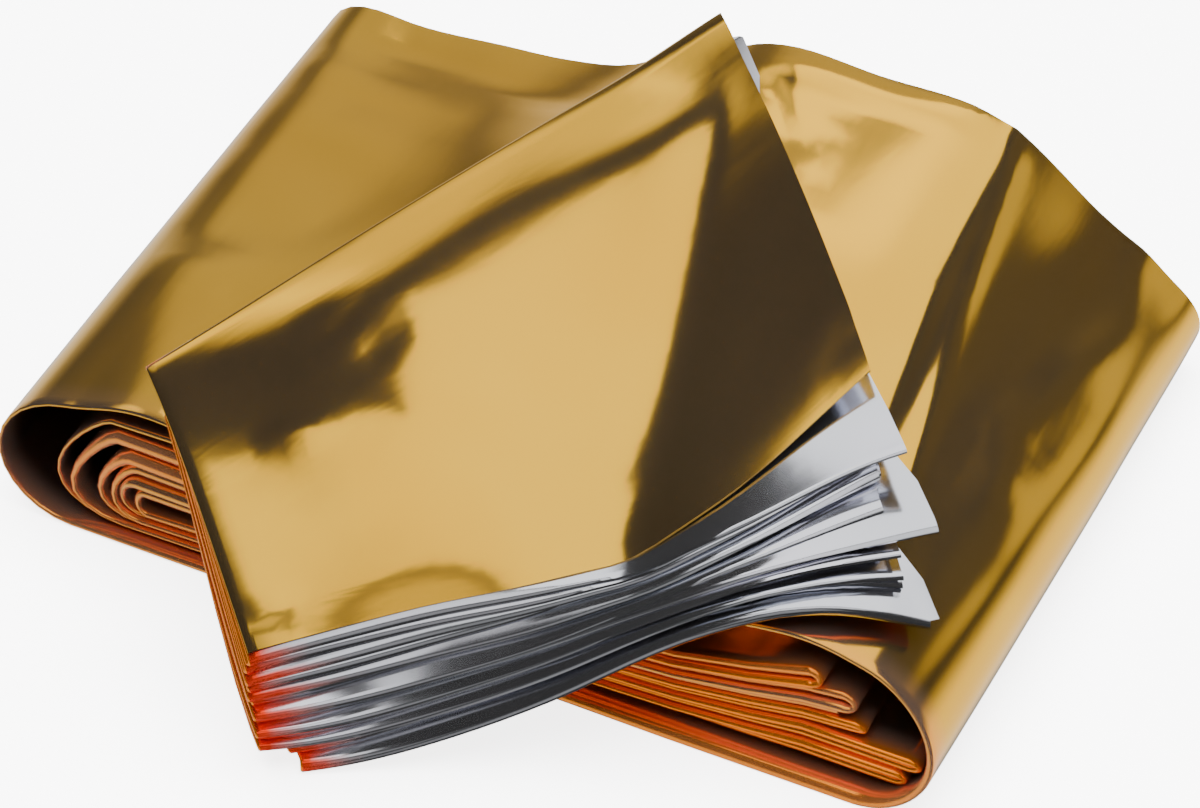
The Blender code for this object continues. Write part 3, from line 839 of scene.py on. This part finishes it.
@dataclass
class Folder:
    """Draws the strip off the roll and folds it back and forth into the pack."""

    pack: PackForm
    strip: Strip
    sweep_near: tuple[tuple[float, float], ...] = ((70.0, 0.0), (98.0, -12.0))
    sweep_far: tuple[tuple[float, float], ...] = ((128.0, 196.0), (158.0, 112.0))
    sweep_rows: int = 24
    sweep_bundle: float = 0.9  # distance between the plies where the layer leaves the roll
    sweep_painted_reflection: float = 0.8  # how strong the painted orange reflection on its folded edge gets
    sweep_reflection_reach: float = 0.06
    sweep_reflection_from: float = 0.2  # where on its way down the painted reflection starts to strengthen
    sweep_reflection_over: float = 0.5
    first_fold_way: tuple[float, float, float] = (0.10, -0.99, 0.0)
    stations: tuple[float, ...] = (0.08, 0.26, 0.48, 0.7, 0.88)
    top_stations: int = 30
    fold_angles: tuple[float, ...] = (36.0, 72.0, 108.0, 144.0)
    run_out: float = 2.5  # how far the lower ply shows past the upper one at the near right corner
    run_out_depth: float = 0.35  # how far in from the left end the orange reflection is painted
    painted_reflection_reach: float = 0.045  # how far in from the left end the gold looks deeper
    painted_reflection_spread: float = 0.05  # how much farther in it does round a near fold
    painted_reflection_waver: Wave = Wave(0.04, 0.0, 2.6)  # share of the reach where the painted reflection is at full strength
    painted_reflection_full: float = 0.3  # share of the reach that is as deep as can be

    @property
    def leaving(self) -> Array:
        """Return where the outermost layer leaves the roll, along it, from near to far."""
        return blend(self.sweep_near[0][0], self.sweep_far[0][0], self.strip.across)

    def painted_reflection(self, fold: int, part: float) -> Array:
        """Paint the orange reflection of gold in gold at the pack's left end, in ragged triangles
        on the near folds.

        Args:
            fold: The near fold's number.
            part: How far round the fold the row lies, from 0 to 1.

        Returns:
            How strongly the reflection is painted across the strip, from 0 to 1.
        """
        spread = self.painted_reflection_spread + float(self.painted_reflection_waver.at(0.0, fold))
        reach = self.painted_reflection_reach + spread * math.sin(math.pi * part)
        return smooth(1.0 - (self.strip.across - self.painted_reflection_full * reach) / reach)

    def draw_off(self) -> None:
        """Add the layer that is drawn off the roll, round and down to the lowest near fold."""
        pack, roll, across = self.pack, self.pack.roll, self.strip.across
        near_b = float(pack.near_depth(0, np.array(0.0)))
        a = pack.spread(0, across, np.full_like(across, near_b), 0)
        ends = [roll.from_plan(pack.edge(pack.near_low, a[place])) for place in (0, -1)]
        for t in np.linspace(0.0, 1.0, self.sweep_rows):
            sides = []
            for (start, middle), end in zip((self.sweep_near, self.sweep_far), ends):
                start, middle, end = map(np.asarray, (start, middle, end))
                sides.append((1 - t) ** 2 * start + 2 * t * (1 - t) * middle + t * t * end)
            along, depth = blend(sides[0], sides[1], across[:, None]).T
            row = np.column_stack([roll.to_plan(along, depth), pack.draped(along, depth)])
            # the orange reflection of gold in gold is painted on the drawn-off layer's folded edge,
            # rising on its way down
            reflection_ramp = smooth((t - self.sweep_reflection_from) / self.sweep_reflection_over)
            near = smooth(1.0 - across / self.sweep_reflection_reach)
            bundle = blend(self.sweep_bundle, pack.bundle, t)
            self.strip.add(row, bundle, self.sweep_painted_reflection * near * reflection_ramp, Zone.DRAWN_OFF)
        self.turn_under(a)

    def turn_under(self, a: Array) -> None:
        """Add the fold from the drawn-off layer to the pack's lowest one.

        Args:
            a: Shares of the pack's width, from the near to the far edge of the strip.
        """
        pack = self.pack
        first = pack.place(a, pack.near_depth(0, a), 0.0)
        last = first - np.array([0.0, 0.0, pack.layer_lift])
        self.strip.rows[-1] = last
        bundle = pack.opening(self.strip.across)
        for angle in map(math.radians, self.fold_angles):
            between = 0.5 * (last + first) + 0.5 * math.cos(angle) * (last - first)
            outward = np.array(self.first_fold_way) * pack.fold_reach * math.sin(angle)
            self.strip.add(between + outward, bundle, self.painted_reflection(0, angle / math.pi), Zone.PACK)

    def near_fold(self, layer: int) -> int:
        """Return the number of the near fold that a layer belongs to."""
        return min((layer + 1) // 2, len(self.pack.folds) - 1)

    def lay_layer(self, layer: int) -> tuple[Array, Array]:
        """Add one layer of the pack.

        Args:
            layer: The layer's number, counted from the lowest up.

        Returns:
            Where its near and far folds stand, as shares of the pack's depth.
        """
        pack, across = self.pack, self.strip.across
        on_top = layer == pack.layers - 1
        fold = self.near_fold(layer)
        near = np.zeros_like(across) if on_top else pack.near_depth(fold, across)
        far = pack.far_depth(layer // 2, across)
        inner = np.linspace(0.0, 1.0, self.top_stations)[1:-1] if on_top else self.stations
        places = [near, *(blend(near, far, b) for b in inner), far]
        bundle, painted_reflection = pack.opening(across), self.painted_reflection(fold, 0.0) * (not on_top)
        for b in places if layer % 2 == 0 else reversed(places):
            a = pack.spread(fold, across, b, layer)
            row = pack.place(a, b, pack.height_of(layer, a, pack.folds[fold].near_rise))
            shown = float(smooth(1.0 - np.mean(b) / self.run_out_depth)) * (not on_top)
            self.strip.add(row, bundle, painted_reflection, Zone.PACK, self.run_out * shown)
        return near, far

    def turn_over(self, layer: int, near: Array, far: Array) -> None:
        """Add the fold between a layer and the next one up.

        Args:
            layer: The lower layer's number.
            near: Where its near fold stands, as a share of the pack's depth.
            far: Where its far fold stands.
        """
        pack, across = self.pack, self.strip.across
        at_far = layer % 2 == 0
        side, start = (1.0, far) if at_far else (-1.0, near)
        fold, next_fold = self.near_fold(layer), self.near_fold(layer + 1)
        rise, next_rise = pack.folds[fold].near_rise, pack.folds[next_fold].near_rise
        bundle, run_out = pack.opening(across), 0.0 if at_far else self.run_out
        for angle in map(math.radians, self.fold_angles):
            mix = 0.5 - 0.5 * math.cos(angle)
            b = start + side * pack.fold_reach / pack.depth * math.sin(angle)
            a = pack.spread(blend(fold, next_fold, mix), across, b, layer + mix)
            low, high = pack.height_of(layer, a, rise), pack.height_of(layer + 1, a, next_rise)
            painted_reflection = self.painted_reflection(fold, 0.0 if at_far else angle / math.pi)
            row = pack.place(a, b, blend(low, high, mix))
            self.strip.add(row, bundle, painted_reflection, Zone.PACK, run_out)

    def fold_up(self) -> None:
        """Add the pack's layers and folds, up to the free near edge on top."""
        for layer in range(self.pack.layers):
            near, far = self.lay_layer(layer)
            if layer < self.pack.layers - 1:
                self.turn_over(layer, near, far)


# ---------------------------------------------------------------- the sheet


@dataclass
class FoilSheet:
    """The whole blanket as one thin sheet: two plies, joined by a fold along the near edge."""

    flat: tuple[float, float] = (1.6, 2.1)
    cells_across: int = 32
    finer_ends: float = 0.045  # how much closer the columns stand at both ends
    first_column: float = 0.6  # where the second column stands, as a share of its even place
    leaving_rows: int = 20
    film: float = 0.2
    floor_gap: float = 0.02
    run_out_power: int = 8  # a higher power keeps the lower ply's run-out nearer its edge
    layout_middle: tuple[float, float] = (169.9, 174.6)
    edge_angles: tuple[float, ...] = (60.0, 25.0, 0.0, -25.0, -60.0)
    edge_share: float = 0.02  # what the folded edge takes of the flat film, in strip widths
    sharpest_deg: float = 55.0  # a steeper turn than this is the film's cut edge
    roll: RollForm = field(default_factory=RollForm)

    def strip(self) -> Strip:
        """Wind the roll, draw the strip off it and fold the pack.

        Returns:
            The strip, with its rows from the roll's core to the pack's top edge.
        """
        across = np.linspace(0.0, 1.0, self.cells_across + 1)
        across -= self.finer_ends * np.sin(2 * math.pi * across)
        across[1] *= self.first_column
        strip = Strip(across)
        folder = Folder(PackForm(self.roll), strip)
        Winder(self.roll, strip).wind(folder.leaving, self.leaving_rows)
        LOG.info("the roll has %d rows", len(strip.rows))
        folder.draw_off()
        folder.fold_up()
        LOG.info("the strip has %d rows", len(strip.rows))
        return strip

    def plies(self, strip: Strip) -> Array:
        """Part the strip into its two plies.

        Args:
            strip: The strip.

        Returns:
            A grid of places in mm: the upper ply from far to near, the folded edge, the lower ply.
        """
        grid = np.stack(strip.rows)
        half = np.stack(strip.bundles)[..., None] / 2
        along, across = np.gradient(grid, axis=0), np.gradient(grid, axis=1)
        normal = np.cross(along, across)
        normal /= np.maximum(np.linalg.norm(normal, axis=-1, keepdims=True), 1e-9)
        direction = across / np.linalg.norm(across, axis=-1, keepdims=True)
        run_out = strip.across[:, None] ** self.run_out_power
        run_out = run_out * np.array(strip.run_outs)[:, None, None]
        upper = grid + normal * half
        lower = grid - normal * half + direction * run_out
        edge = []
        for angle in map(math.radians, self.edge_angles):
            round_out = -direction[:, 0] * math.cos(angle) + normal[:, 0] * math.sin(angle)
            edge.append(grid[:, 0] + round_out * half[:, 0])
        sheet = np.concatenate([upper[:, ::-1], np.stack(edge, 1), lower], axis=1)
        sheet[..., 2] = np.maximum(sheet[..., 2], self.film / 2 + self.floor_gap)
        return sheet

    def build(self) -> bpy.types.Object:
        """Build the sheet's mesh, with its thickness and the faces' materials.

        Returns:
            The sheet.
        """
        strip = self.strip()
        sheet = self.plies(strip)
        rows, width = sheet.shape[:2]
        points = sheet.reshape(-1, 3).copy()
        points[:, :2] -= np.array(self.layout_middle)
        points *= MM
        r, c = np.meshgrid(np.arange(rows - 1), np.arange(width - 1), indexing="ij")
        low = (r * width + c).ravel()
        faces = np.column_stack([low, low + 1, low + width + 1, low + width])
        mesh = bpy.data.meshes.new("foil_sheet")
        mesh.from_pydata(points, [], faces)
        self.lay_uv(mesh, sheet, strip)
        self.mark_painted_reflection(mesh, strip)
        sheet_object = bpy.data.objects.new("foil_sheet", mesh)
        bpy.context.scene.collection.objects.link(sheet_object)
        in_pack = np.array([zone is Zone.PACK for zone in strip.zones])[:-1]
        gold_cells = self.cells_across + len(self.edge_angles) + 1
        is_gold = np.tile(np.arange(width - 1) < gold_cells, rows - 1)
        self.thicken(sheet_object, np.repeat(in_pack, width - 1), is_gold)
        return sheet_object

    def mark_painted_reflection(self, mesh: bpy.types.Mesh, strip: Strip) -> None:
        """Store how strongly the orange reflection of gold in gold is painted at each point.

        Args:
            mesh: The sheet's mesh.
            strip: The strip that it was made from.
        """
        painted_reflection = np.stack(strip.painted_reflections)
        edge = np.repeat(painted_reflection[:, :1], len(self.edge_angles), axis=1)
        values = np.concatenate([painted_reflection[:, ::-1], edge, painted_reflection], axis=1)
        # painted reflection, read by both finishes
        layer = mesh.attributes.new("painted_reflection", "FLOAT", "POINT")
        layer.data.foreach_set("value", values.astype(np.float32).ravel())

    def lay_uv(self, mesh: bpy.types.Mesh, sheet: Array, strip: Strip) -> None:
        """Lay the strip out flat as a UV map, in metres: along it, and across both plies.

        Args:
            mesh: The sheet's mesh.
            sheet: The grid of places that it was made from.
            strip: The strip.
        """
        middle = sheet[:, self.cells_across // 2]
        steps = np.linalg.norm(np.diff(middle, axis=0), axis=-1)
        along = np.concatenate([[0.0], np.cumsum(steps)]) * MM
        edge = np.linspace(0.0, -self.edge_share, len(self.edge_angles) + 2)[1:-1]
        across = np.concatenate([strip.across[::-1], edge, -self.edge_share - strip.across])
        across *= self.roll.width * MM
        flat = np.stack(np.meshgrid(along, across, indexing="ij"), -1).reshape(-1, 2)
        loops = np.empty(len(mesh.loops), np.int32)
        mesh.loops.foreach_get("vertex_index", loops)
        layer = mesh.uv_layers.new(name="flat_film")
        layer.data.foreach_set("uv", flat[loops].astype(np.float32).ravel())

    def thicken(self, sheet_object: bpy.types.Object, in_pack: Array, is_gold: Array) -> None:
        """Give the film its thickness, then set which faces are gold and which silver.

        Args:
            sheet_object: The sheet, still without thickness.
            in_pack: For each of its faces, whether it lies in the pack.
            is_gold: For each, whether its outer side is gold in the pack.
        """
        solid = sheet_object.modifiers.new("film", "SOLIDIFY")
        solid.thickness = self.film * MM
        solid.offset = 0.0
        bpy.context.view_layer.objects.active = sheet_object
        bpy.ops.object.modifier_apply(modifier=solid.name)
        mesh = sheet_object.data
        count = len(in_pack)
        slots = np.full(len(mesh.polygons), Face.GOLD.value, np.int32)
        slots[:count][in_pack & ~is_gold] = Face.SILVER.value
        slots[count : 2 * count][in_pack] = Face.SILVER.value
        for finish in (GOLD_FILM, SILVER_FILM):
            mesh.materials.append(finish.material())
        mesh.polygons.foreach_set("material_index", slots)
        mesh.shade_smooth()
        mesh.set_sharp_from_angle(angle=math.radians(self.sharpest_deg))


# ---------------------------------------------------------------- finishes


class Wire:
    """An output of a shader node, with the maths that the finishes use on it."""

    def __init__(self, bench: "Bench", socket: bpy.types.NodeSocket) -> None:
        """Hold the socket and the bench that it was made on."""
        self.bench, self.socket = bench, socket

    def _math(self, operation: str, *values: Union["Wire", float]) -> "Wire":
        """Add a Math node."""
        return self.bench.add("ShaderNodeMath", {"operation": operation}, dict(enumerate(values)))

    def __add__(self, other: Union["Wire", float]) -> "Wire":
        """Add a value."""
        return self._math("ADD", self, other)

    __radd__ = __add__

    def __sub__(self, other: Union["Wire", float]) -> "Wire":
        """Take a value away."""
        return self._math("SUBTRACT", self, other)

    def __rsub__(self, other: Union["Wire", float]) -> "Wire":
        """Take this from a value."""
        return self._math("SUBTRACT", other, self)

    def __mul__(self, other: Union["Wire", float]) -> "Wire":
        """Multiply by a value."""
        return self._math("MULTIPLY", self, other)

    __rmul__ = __mul__

    def ramp(self, low: float, high: float) -> "Wire":
        """Return 0 below low and 1 above high, with a smooth rise between."""
        inputs = {"Value": self, "From Min": low, "From Max": high}
        return self.bench.add("ShaderNodeMapRange", {"interpolation_type": "SMOOTHSTEP"}, inputs)


Colour = tuple[float, float, float]


@dataclass(frozen=True)
class Pattern:
    """A soft random field on the flat film."""

    scale: float
    detail: float
    distortion: float = 0.0
    stretch: float = 1.0  # below 1 it runs long across the strip
    turn_deg: float = 0.0


@dataclass
class Bench:
    """The node tree of a finish or of the room, with one way to add a node to it."""

    owner: Union[bpy.types.Material, bpy.types.World]
    output: str = "ShaderNodeOutputMaterial"
    tree: bpy.types.NodeTree = field(init=False)

    def __post_init__(self) -> None:
        """Clear the tree."""
        self.owner.use_nodes = True
        self.tree = self.owner.node_tree
        self.tree.nodes.clear()

    def add(self, kind: str, settings: dict, inputs: dict, output: Union[int, str] = 0) -> Wire:
        """Add a node.

        Args:
            kind: The node's type.
            settings: Its settings, set before its sockets.
            inputs: Values or wires of its sockets, by name or number.
            output: The output to return.

        Returns:
            The chosen output.
        """
        node = self.tree.nodes.new(kind)
        for name, value in settings.items():
            setattr(node, name, value)
        for key, value in inputs.items():
            if isinstance(value, Wire):
                self.tree.links.new(value.socket, node.inputs[key])
            else:
                node.inputs[key].default_value = value
        return Wire(self, node.outputs[output])

    def finish(self, shader: Wire) -> None:
        """Join the shader to the tree's output."""
        self.tree.links.new(shader.socket, self.tree.nodes.new(self.output).inputs["Surface"])

    def mix(
        self, factor: Union[Wire, float], first: Union[Wire, Colour], second: Union[Wire, Colour]
    ) -> Wire:
        """Mix two colours.

        Args:
            factor: The share of the second colour.
            first: The first colour.
            second: The second colour.

        Returns:
            The mixed colour.
        """
        sockets = {0: factor}
        for key, colour in ((6, first), (7, second)):
            sockets[key] = colour if isinstance(colour, Wire) else (*colour, 1.0)
        return self.add("ShaderNodeMix", {"data_type": "RGBA"}, sockets, 2)

    def lay(self, pattern: Pattern, at: Wire) -> Wire:
        """Lay a random field.

        Args:
            pattern: The field.
            at: The places that it is read at.

        Returns:
            Its values there.
        """
        if pattern.stretch != 1.0 or pattern.turn_deg:
            turn = (0.0, 0.0, math.radians(pattern.turn_deg))
            inputs = {"Vector": at, "Scale": (1.0, pattern.stretch, 1.0), "Rotation": turn}
            at = self.add("ShaderNodeMapping", {}, inputs)
        inputs = {"Vector": at, "Scale": pattern.scale, "Detail": pattern.detail}
        inputs["Distortion"] = pattern.distortion
        return self.add("ShaderNodeTexNoise", {}, inputs)


@dataclass(frozen=True)
class Film:
    """Metallised film: bright metal under clear lacquer, with soft waves and fine creases, and an
    orange reflection of gold in gold painted at its folded edges.
    """

    name: str
    pale: Colour
    deep: Colour
    # colour of the orange reflection of gold in gold, painted at the folded edges
    painted_reflection_colour: Colour
    roughness: float = 0.12
    rough_spread: float = 0.04
    rough_patches: Pattern = Pattern(60.0, 2.0)
    tones: Pattern = Pattern(9.0, 2.0, 0.4)
    tone_range: tuple[float, float] = (0.38, 0.66)  # of the field, from pale to deep
    waves: Pattern = Pattern(22.0, 1.0, 0.3, 0.6)
    wave_height: float = 0.5 * MM
    wrinkles: Pattern = Pattern(130.0, 2.0, 0.6, 0.25, 12.0)
    wrinkle_height: float = 0.014 * MM
    haze: float = 0.045  # the share of the light that the clear lacquer scatters
    haze_grey: Colour = (0.78, 0.72, 0.68)
    haze_metal: float = 0.97  # the share of the haze that still mirrors
    haze_roughness: float = 0.65
    painted_reflection_haze: float = 0.045  # how much more of the matt veil shows at the folded edges, where it carries the painted orange reflection

    def material(self) -> bpy.types.Material:
        """Make the finish.

        Returns:
            Its material.
        """
        bench = Bench(bpy.data.materials.new(self.name))
        at = bench.add("ShaderNodeUVMap", {"uv_map": "flat_film"}, {})
        painted_reflection = bench.add("ShaderNodeAttribute", {"attribute_name": "painted_reflection"}, {}, "Fac")
        tone = bench.lay(self.tones, at).ramp(*self.tone_range)
        # paints the orange reflection of gold in gold over the film's own colour at the folded
        # edges
        colour = bench.mix(painted_reflection, bench.mix(tone, self.pale, self.deep), self.painted_reflection_colour)
        height = bench.lay(self.waves, at) * self.wave_height
        height = height + bench.lay(self.wrinkles, at) * self.wrinkle_height
        inputs = {"Height": height, "Strength": 1.0, "Distance": 1.0}
        normal = bench.add("ShaderNodeBump", {}, inputs)
        smoothest = self.roughness - 0.5 * self.rough_spread
        rough = bench.lay(self.rough_patches, at) * self.rough_spread + smoothest
        inputs = {"Base Color": colour, "Metallic": 1.0, "Roughness": rough, "Normal": normal}
        metal = bench.add("ShaderNodeBsdfPrincipled", {}, inputs)
        # at the folded edges the veil turns matt and orange: more painted reflection
        inputs = {
            "Base Color": bench.mix(painted_reflection, self.haze_grey, self.painted_reflection_colour),
            "Metallic": self.haze_metal - painted_reflection * self.haze_metal,
            "Roughness": self.haze_roughness,
            "Normal": normal,
        }
        veil = bench.add("ShaderNodeBsdfPrincipled", {}, inputs)
        inputs = {0: painted_reflection * self.painted_reflection_haze + self.haze, 1: metal, 2: veil}
        bench.finish(bench.add("ShaderNodeMixShader", {}, inputs))
        return bench.owner


GOLD_FILM = Film(
    "gold_film",
    pale=(0.94, 0.51, 0.018),
    deep=(0.89, 0.46, 0.010),
    # orange reflection of gold in gold, painted at the folded edges
    painted_reflection_colour=(0.90, 0.23, 0.004),
    wrinkle_height=0.03 * MM,
)
SILVER_FILM = Film(
    "silver_film",
    pale=(0.86, 0.86, 0.93),
    deep=(0.76, 0.78, 0.83),
    # red-orange reflection of the gold face, painted on the silver at the pack's left end
    painted_reflection_colour=(0.88, 0.045, 0.006),
    haze=0.03,
    painted_reflection_haze=0.065,
)


# ---------------------------------------------------------------- the studio


@dataclass(frozen=True)
class Softbox:
    """A square-cornered soft light that hangs level and shines straight down."""

    name: str
    place: tuple[float, float, float]
    size: tuple[float, float]
    radiance: float
    in_reflections: bool = True

    def build(self) -> None:
        """Hang the light."""
        lamp = bpy.data.lights.new(self.name, "AREA")
        lamp.shape, lamp.size, lamp.size_y = "RECTANGLE", *self.size
        lamp.energy = self.radiance * math.pi * self.size[0] * self.size[1]
        light = bpy.data.objects.new(self.name, lamp)
        bpy.context.scene.collection.objects.link(light)
        light.location = self.place
        light.visible_glossy = self.in_reflections
        light.visible_camera = False


@dataclass(frozen=True)
class Glow:
    """A soft bright patch of the room or of the table round the blanket, as the film mirrors it."""

    azimuth_deg: float  # 0 is behind the blanket, 90 at its right
    elevation_deg: float
    reach_deg: float
    radiance: float
    core: ClassVar[float] = 0.35  # the share of its reach that is at full strength

    def axis(self) -> tuple[float, float, float]:
        """Work out where the glow lies.

        Returns:
            The direction in which it lies, of length 1.
        """
        azimuth, rise = math.radians(self.azimuth_deg), math.radians(self.elevation_deg)
        flat = math.cos(rise)
        return math.sin(azimuth) * flat, math.cos(azimuth) * flat, math.sin(rise)

    def light(self, bench: Bench, towards: Wire) -> Wire:
        """Light the room in the glow's direction.

        Args:
            bench: The room's node tree.
            towards: The direction that is looked in.

        Returns:
            The glow's light in that direction.
        """
        sockets = {0: towards, 1: self.axis()}
        dot = bench.add("ShaderNodeVectorMath", {"operation": "DOT_PRODUCT"}, sockets, "Value")
        reach = math.radians(self.reach_deg)
        return dot.ramp(math.cos(reach), math.cos(self.core * reach)) * self.radiance


@dataclass
class Studio:
    """A white table under a large soft box, and the camera."""

    room_grey: float = 0.035
    table_size: float = 14.0
    table_white: float = 0.86
    table_roughness: float = 0.9
    table_glow: float = 5.0
    target: tuple[float, float, float] = (-0.0019, -0.0178, 0.028)
    elevation_deg: float = 43.0
    distance: float = 1.82
    lens: float = 195.0
    sensor_width: float = 36.0
    softboxes: tuple[Softbox, ...] = (
        Softbox("overhead_front", (0.1125, -1.165, 1.2), (1.625, 0.87), 0.95),
        Softbox("overhead_near", (0.2125, -0.445, 1.2), (1.425, 0.43), 1.6),
        Softbox("overhead", (0.3, 0.095, 1.2), (1.25, 0.65), 1.6),
        Softbox("overhead_back", (0.4025, 0.86, 1.2), (1.045, 0.88), 1.6),
        Softbox("table_fill", (0.0, 0.0, 5.0), (6.0, 6.0), 16.0, False),
    )
    glows: tuple[Glow, ...] = (
        Glow(-26.0, 42.0, 13.0, 1.1),
        Glow(-41.0, 45.0, 9.5, 0.8),
        Glow(4.0, 37.0, 24.0, 0.42),
        Glow(8.0, 15.0, 42.0, 0.17),
        Glow(64.0, 14.0, 9.5, 0.6),
        Glow(60.0, 20.0, 24.0, 0.05),
        Glow(66.0, -32.0, 40.0, 1.5),
        Glow(-128.0, -40.0, 46.0, 0.8),
        Glow(-50.0, -35.0, 40.0, 0.6),
        Glow(0.0, -22.0, 40.0, 0.75),
        Glow(180.0, 6.0, 22.0, 0.25),
        Glow(178.0, 38.0, 30.0, 0.12),
    )

    def table(self) -> bpy.types.Object:
        """Lay the white table, which the film mirrors only as the room's glows.

        Returns:
            The table.
        """
        bpy.ops.object.select_all(action="DESELECT")
        bpy.ops.mesh.primitive_plane_add(size=self.table_size, location=(0.0, 0.0, 0.0))
        table = bpy.context.object
        table.name = "white_table"
        bench = Bench(bpy.data.materials.new("table_white"))
        paint = (*(self.table_white,) * 3, 1.0)
        inputs = {
            "Base Color": paint,
            "Roughness": self.table_roughness,
            "Emission Color": paint,
            "Emission Strength": self.table_glow,
        }
        bench.finish(bench.add("ShaderNodeBsdfPrincipled", {}, inputs))
        table.data.materials.append(bench.owner)
        table.visible_glossy = False
        return table

    def room(self) -> None:
        """Set the grey of the room, with its glows."""
        world = bpy.data.worlds.new("room")
        bench = Bench(world, "ShaderNodeOutputWorld")
        towards = bench.add("ShaderNodeTexCoord", {}, {}, "Generated")
        light: Union[Wire, float] = self.room_grey
        for glow in self.glows:
            light = glow.light(bench, towards) + light
        bench.finish(bench.add("ShaderNodeBackground", {}, {"Color": light, "Strength": 1.0}))
        bpy.context.scene.world = world

    def camera(self) -> None:
        """Set up the camera."""
        lens = bpy.data.cameras.new("camera")
        lens.lens, lens.sensor_width = self.lens, self.sensor_width
        camera = bpy.data.objects.new("camera", lens)
        bpy.context.scene.collection.objects.link(camera)
        rise = math.radians(self.elevation_deg)
        back = np.array([0.0, -math.cos(rise), math.sin(rise)]) * self.distance
        camera.location = np.array(self.target) + back
        camera.rotation_euler = (math.pi / 2 - rise, 0.0, 0.0)
        bpy.context.scene.camera = camera

    def build(self) -> None:
        """Set up the whole studio."""
        self.table()
        self.room()
        for softbox in self.softboxes:
            softbox.build()
        self.camera()


def main() -> None:
    """Build the studio and the blanket, and note the sizes."""
    logging.basicConfig(level=logging.INFO, format="%(name)s: %(message)s")
    Studio().build()
    foil = FoilSheet()
    sheet = foil.build()
    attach(sheet, "root")
    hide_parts("foil_blanket")
    LOG.info("%s: %d faces", sheet.name, len(sheet.data.polygons))


if __name__ == "__main__":
    main()
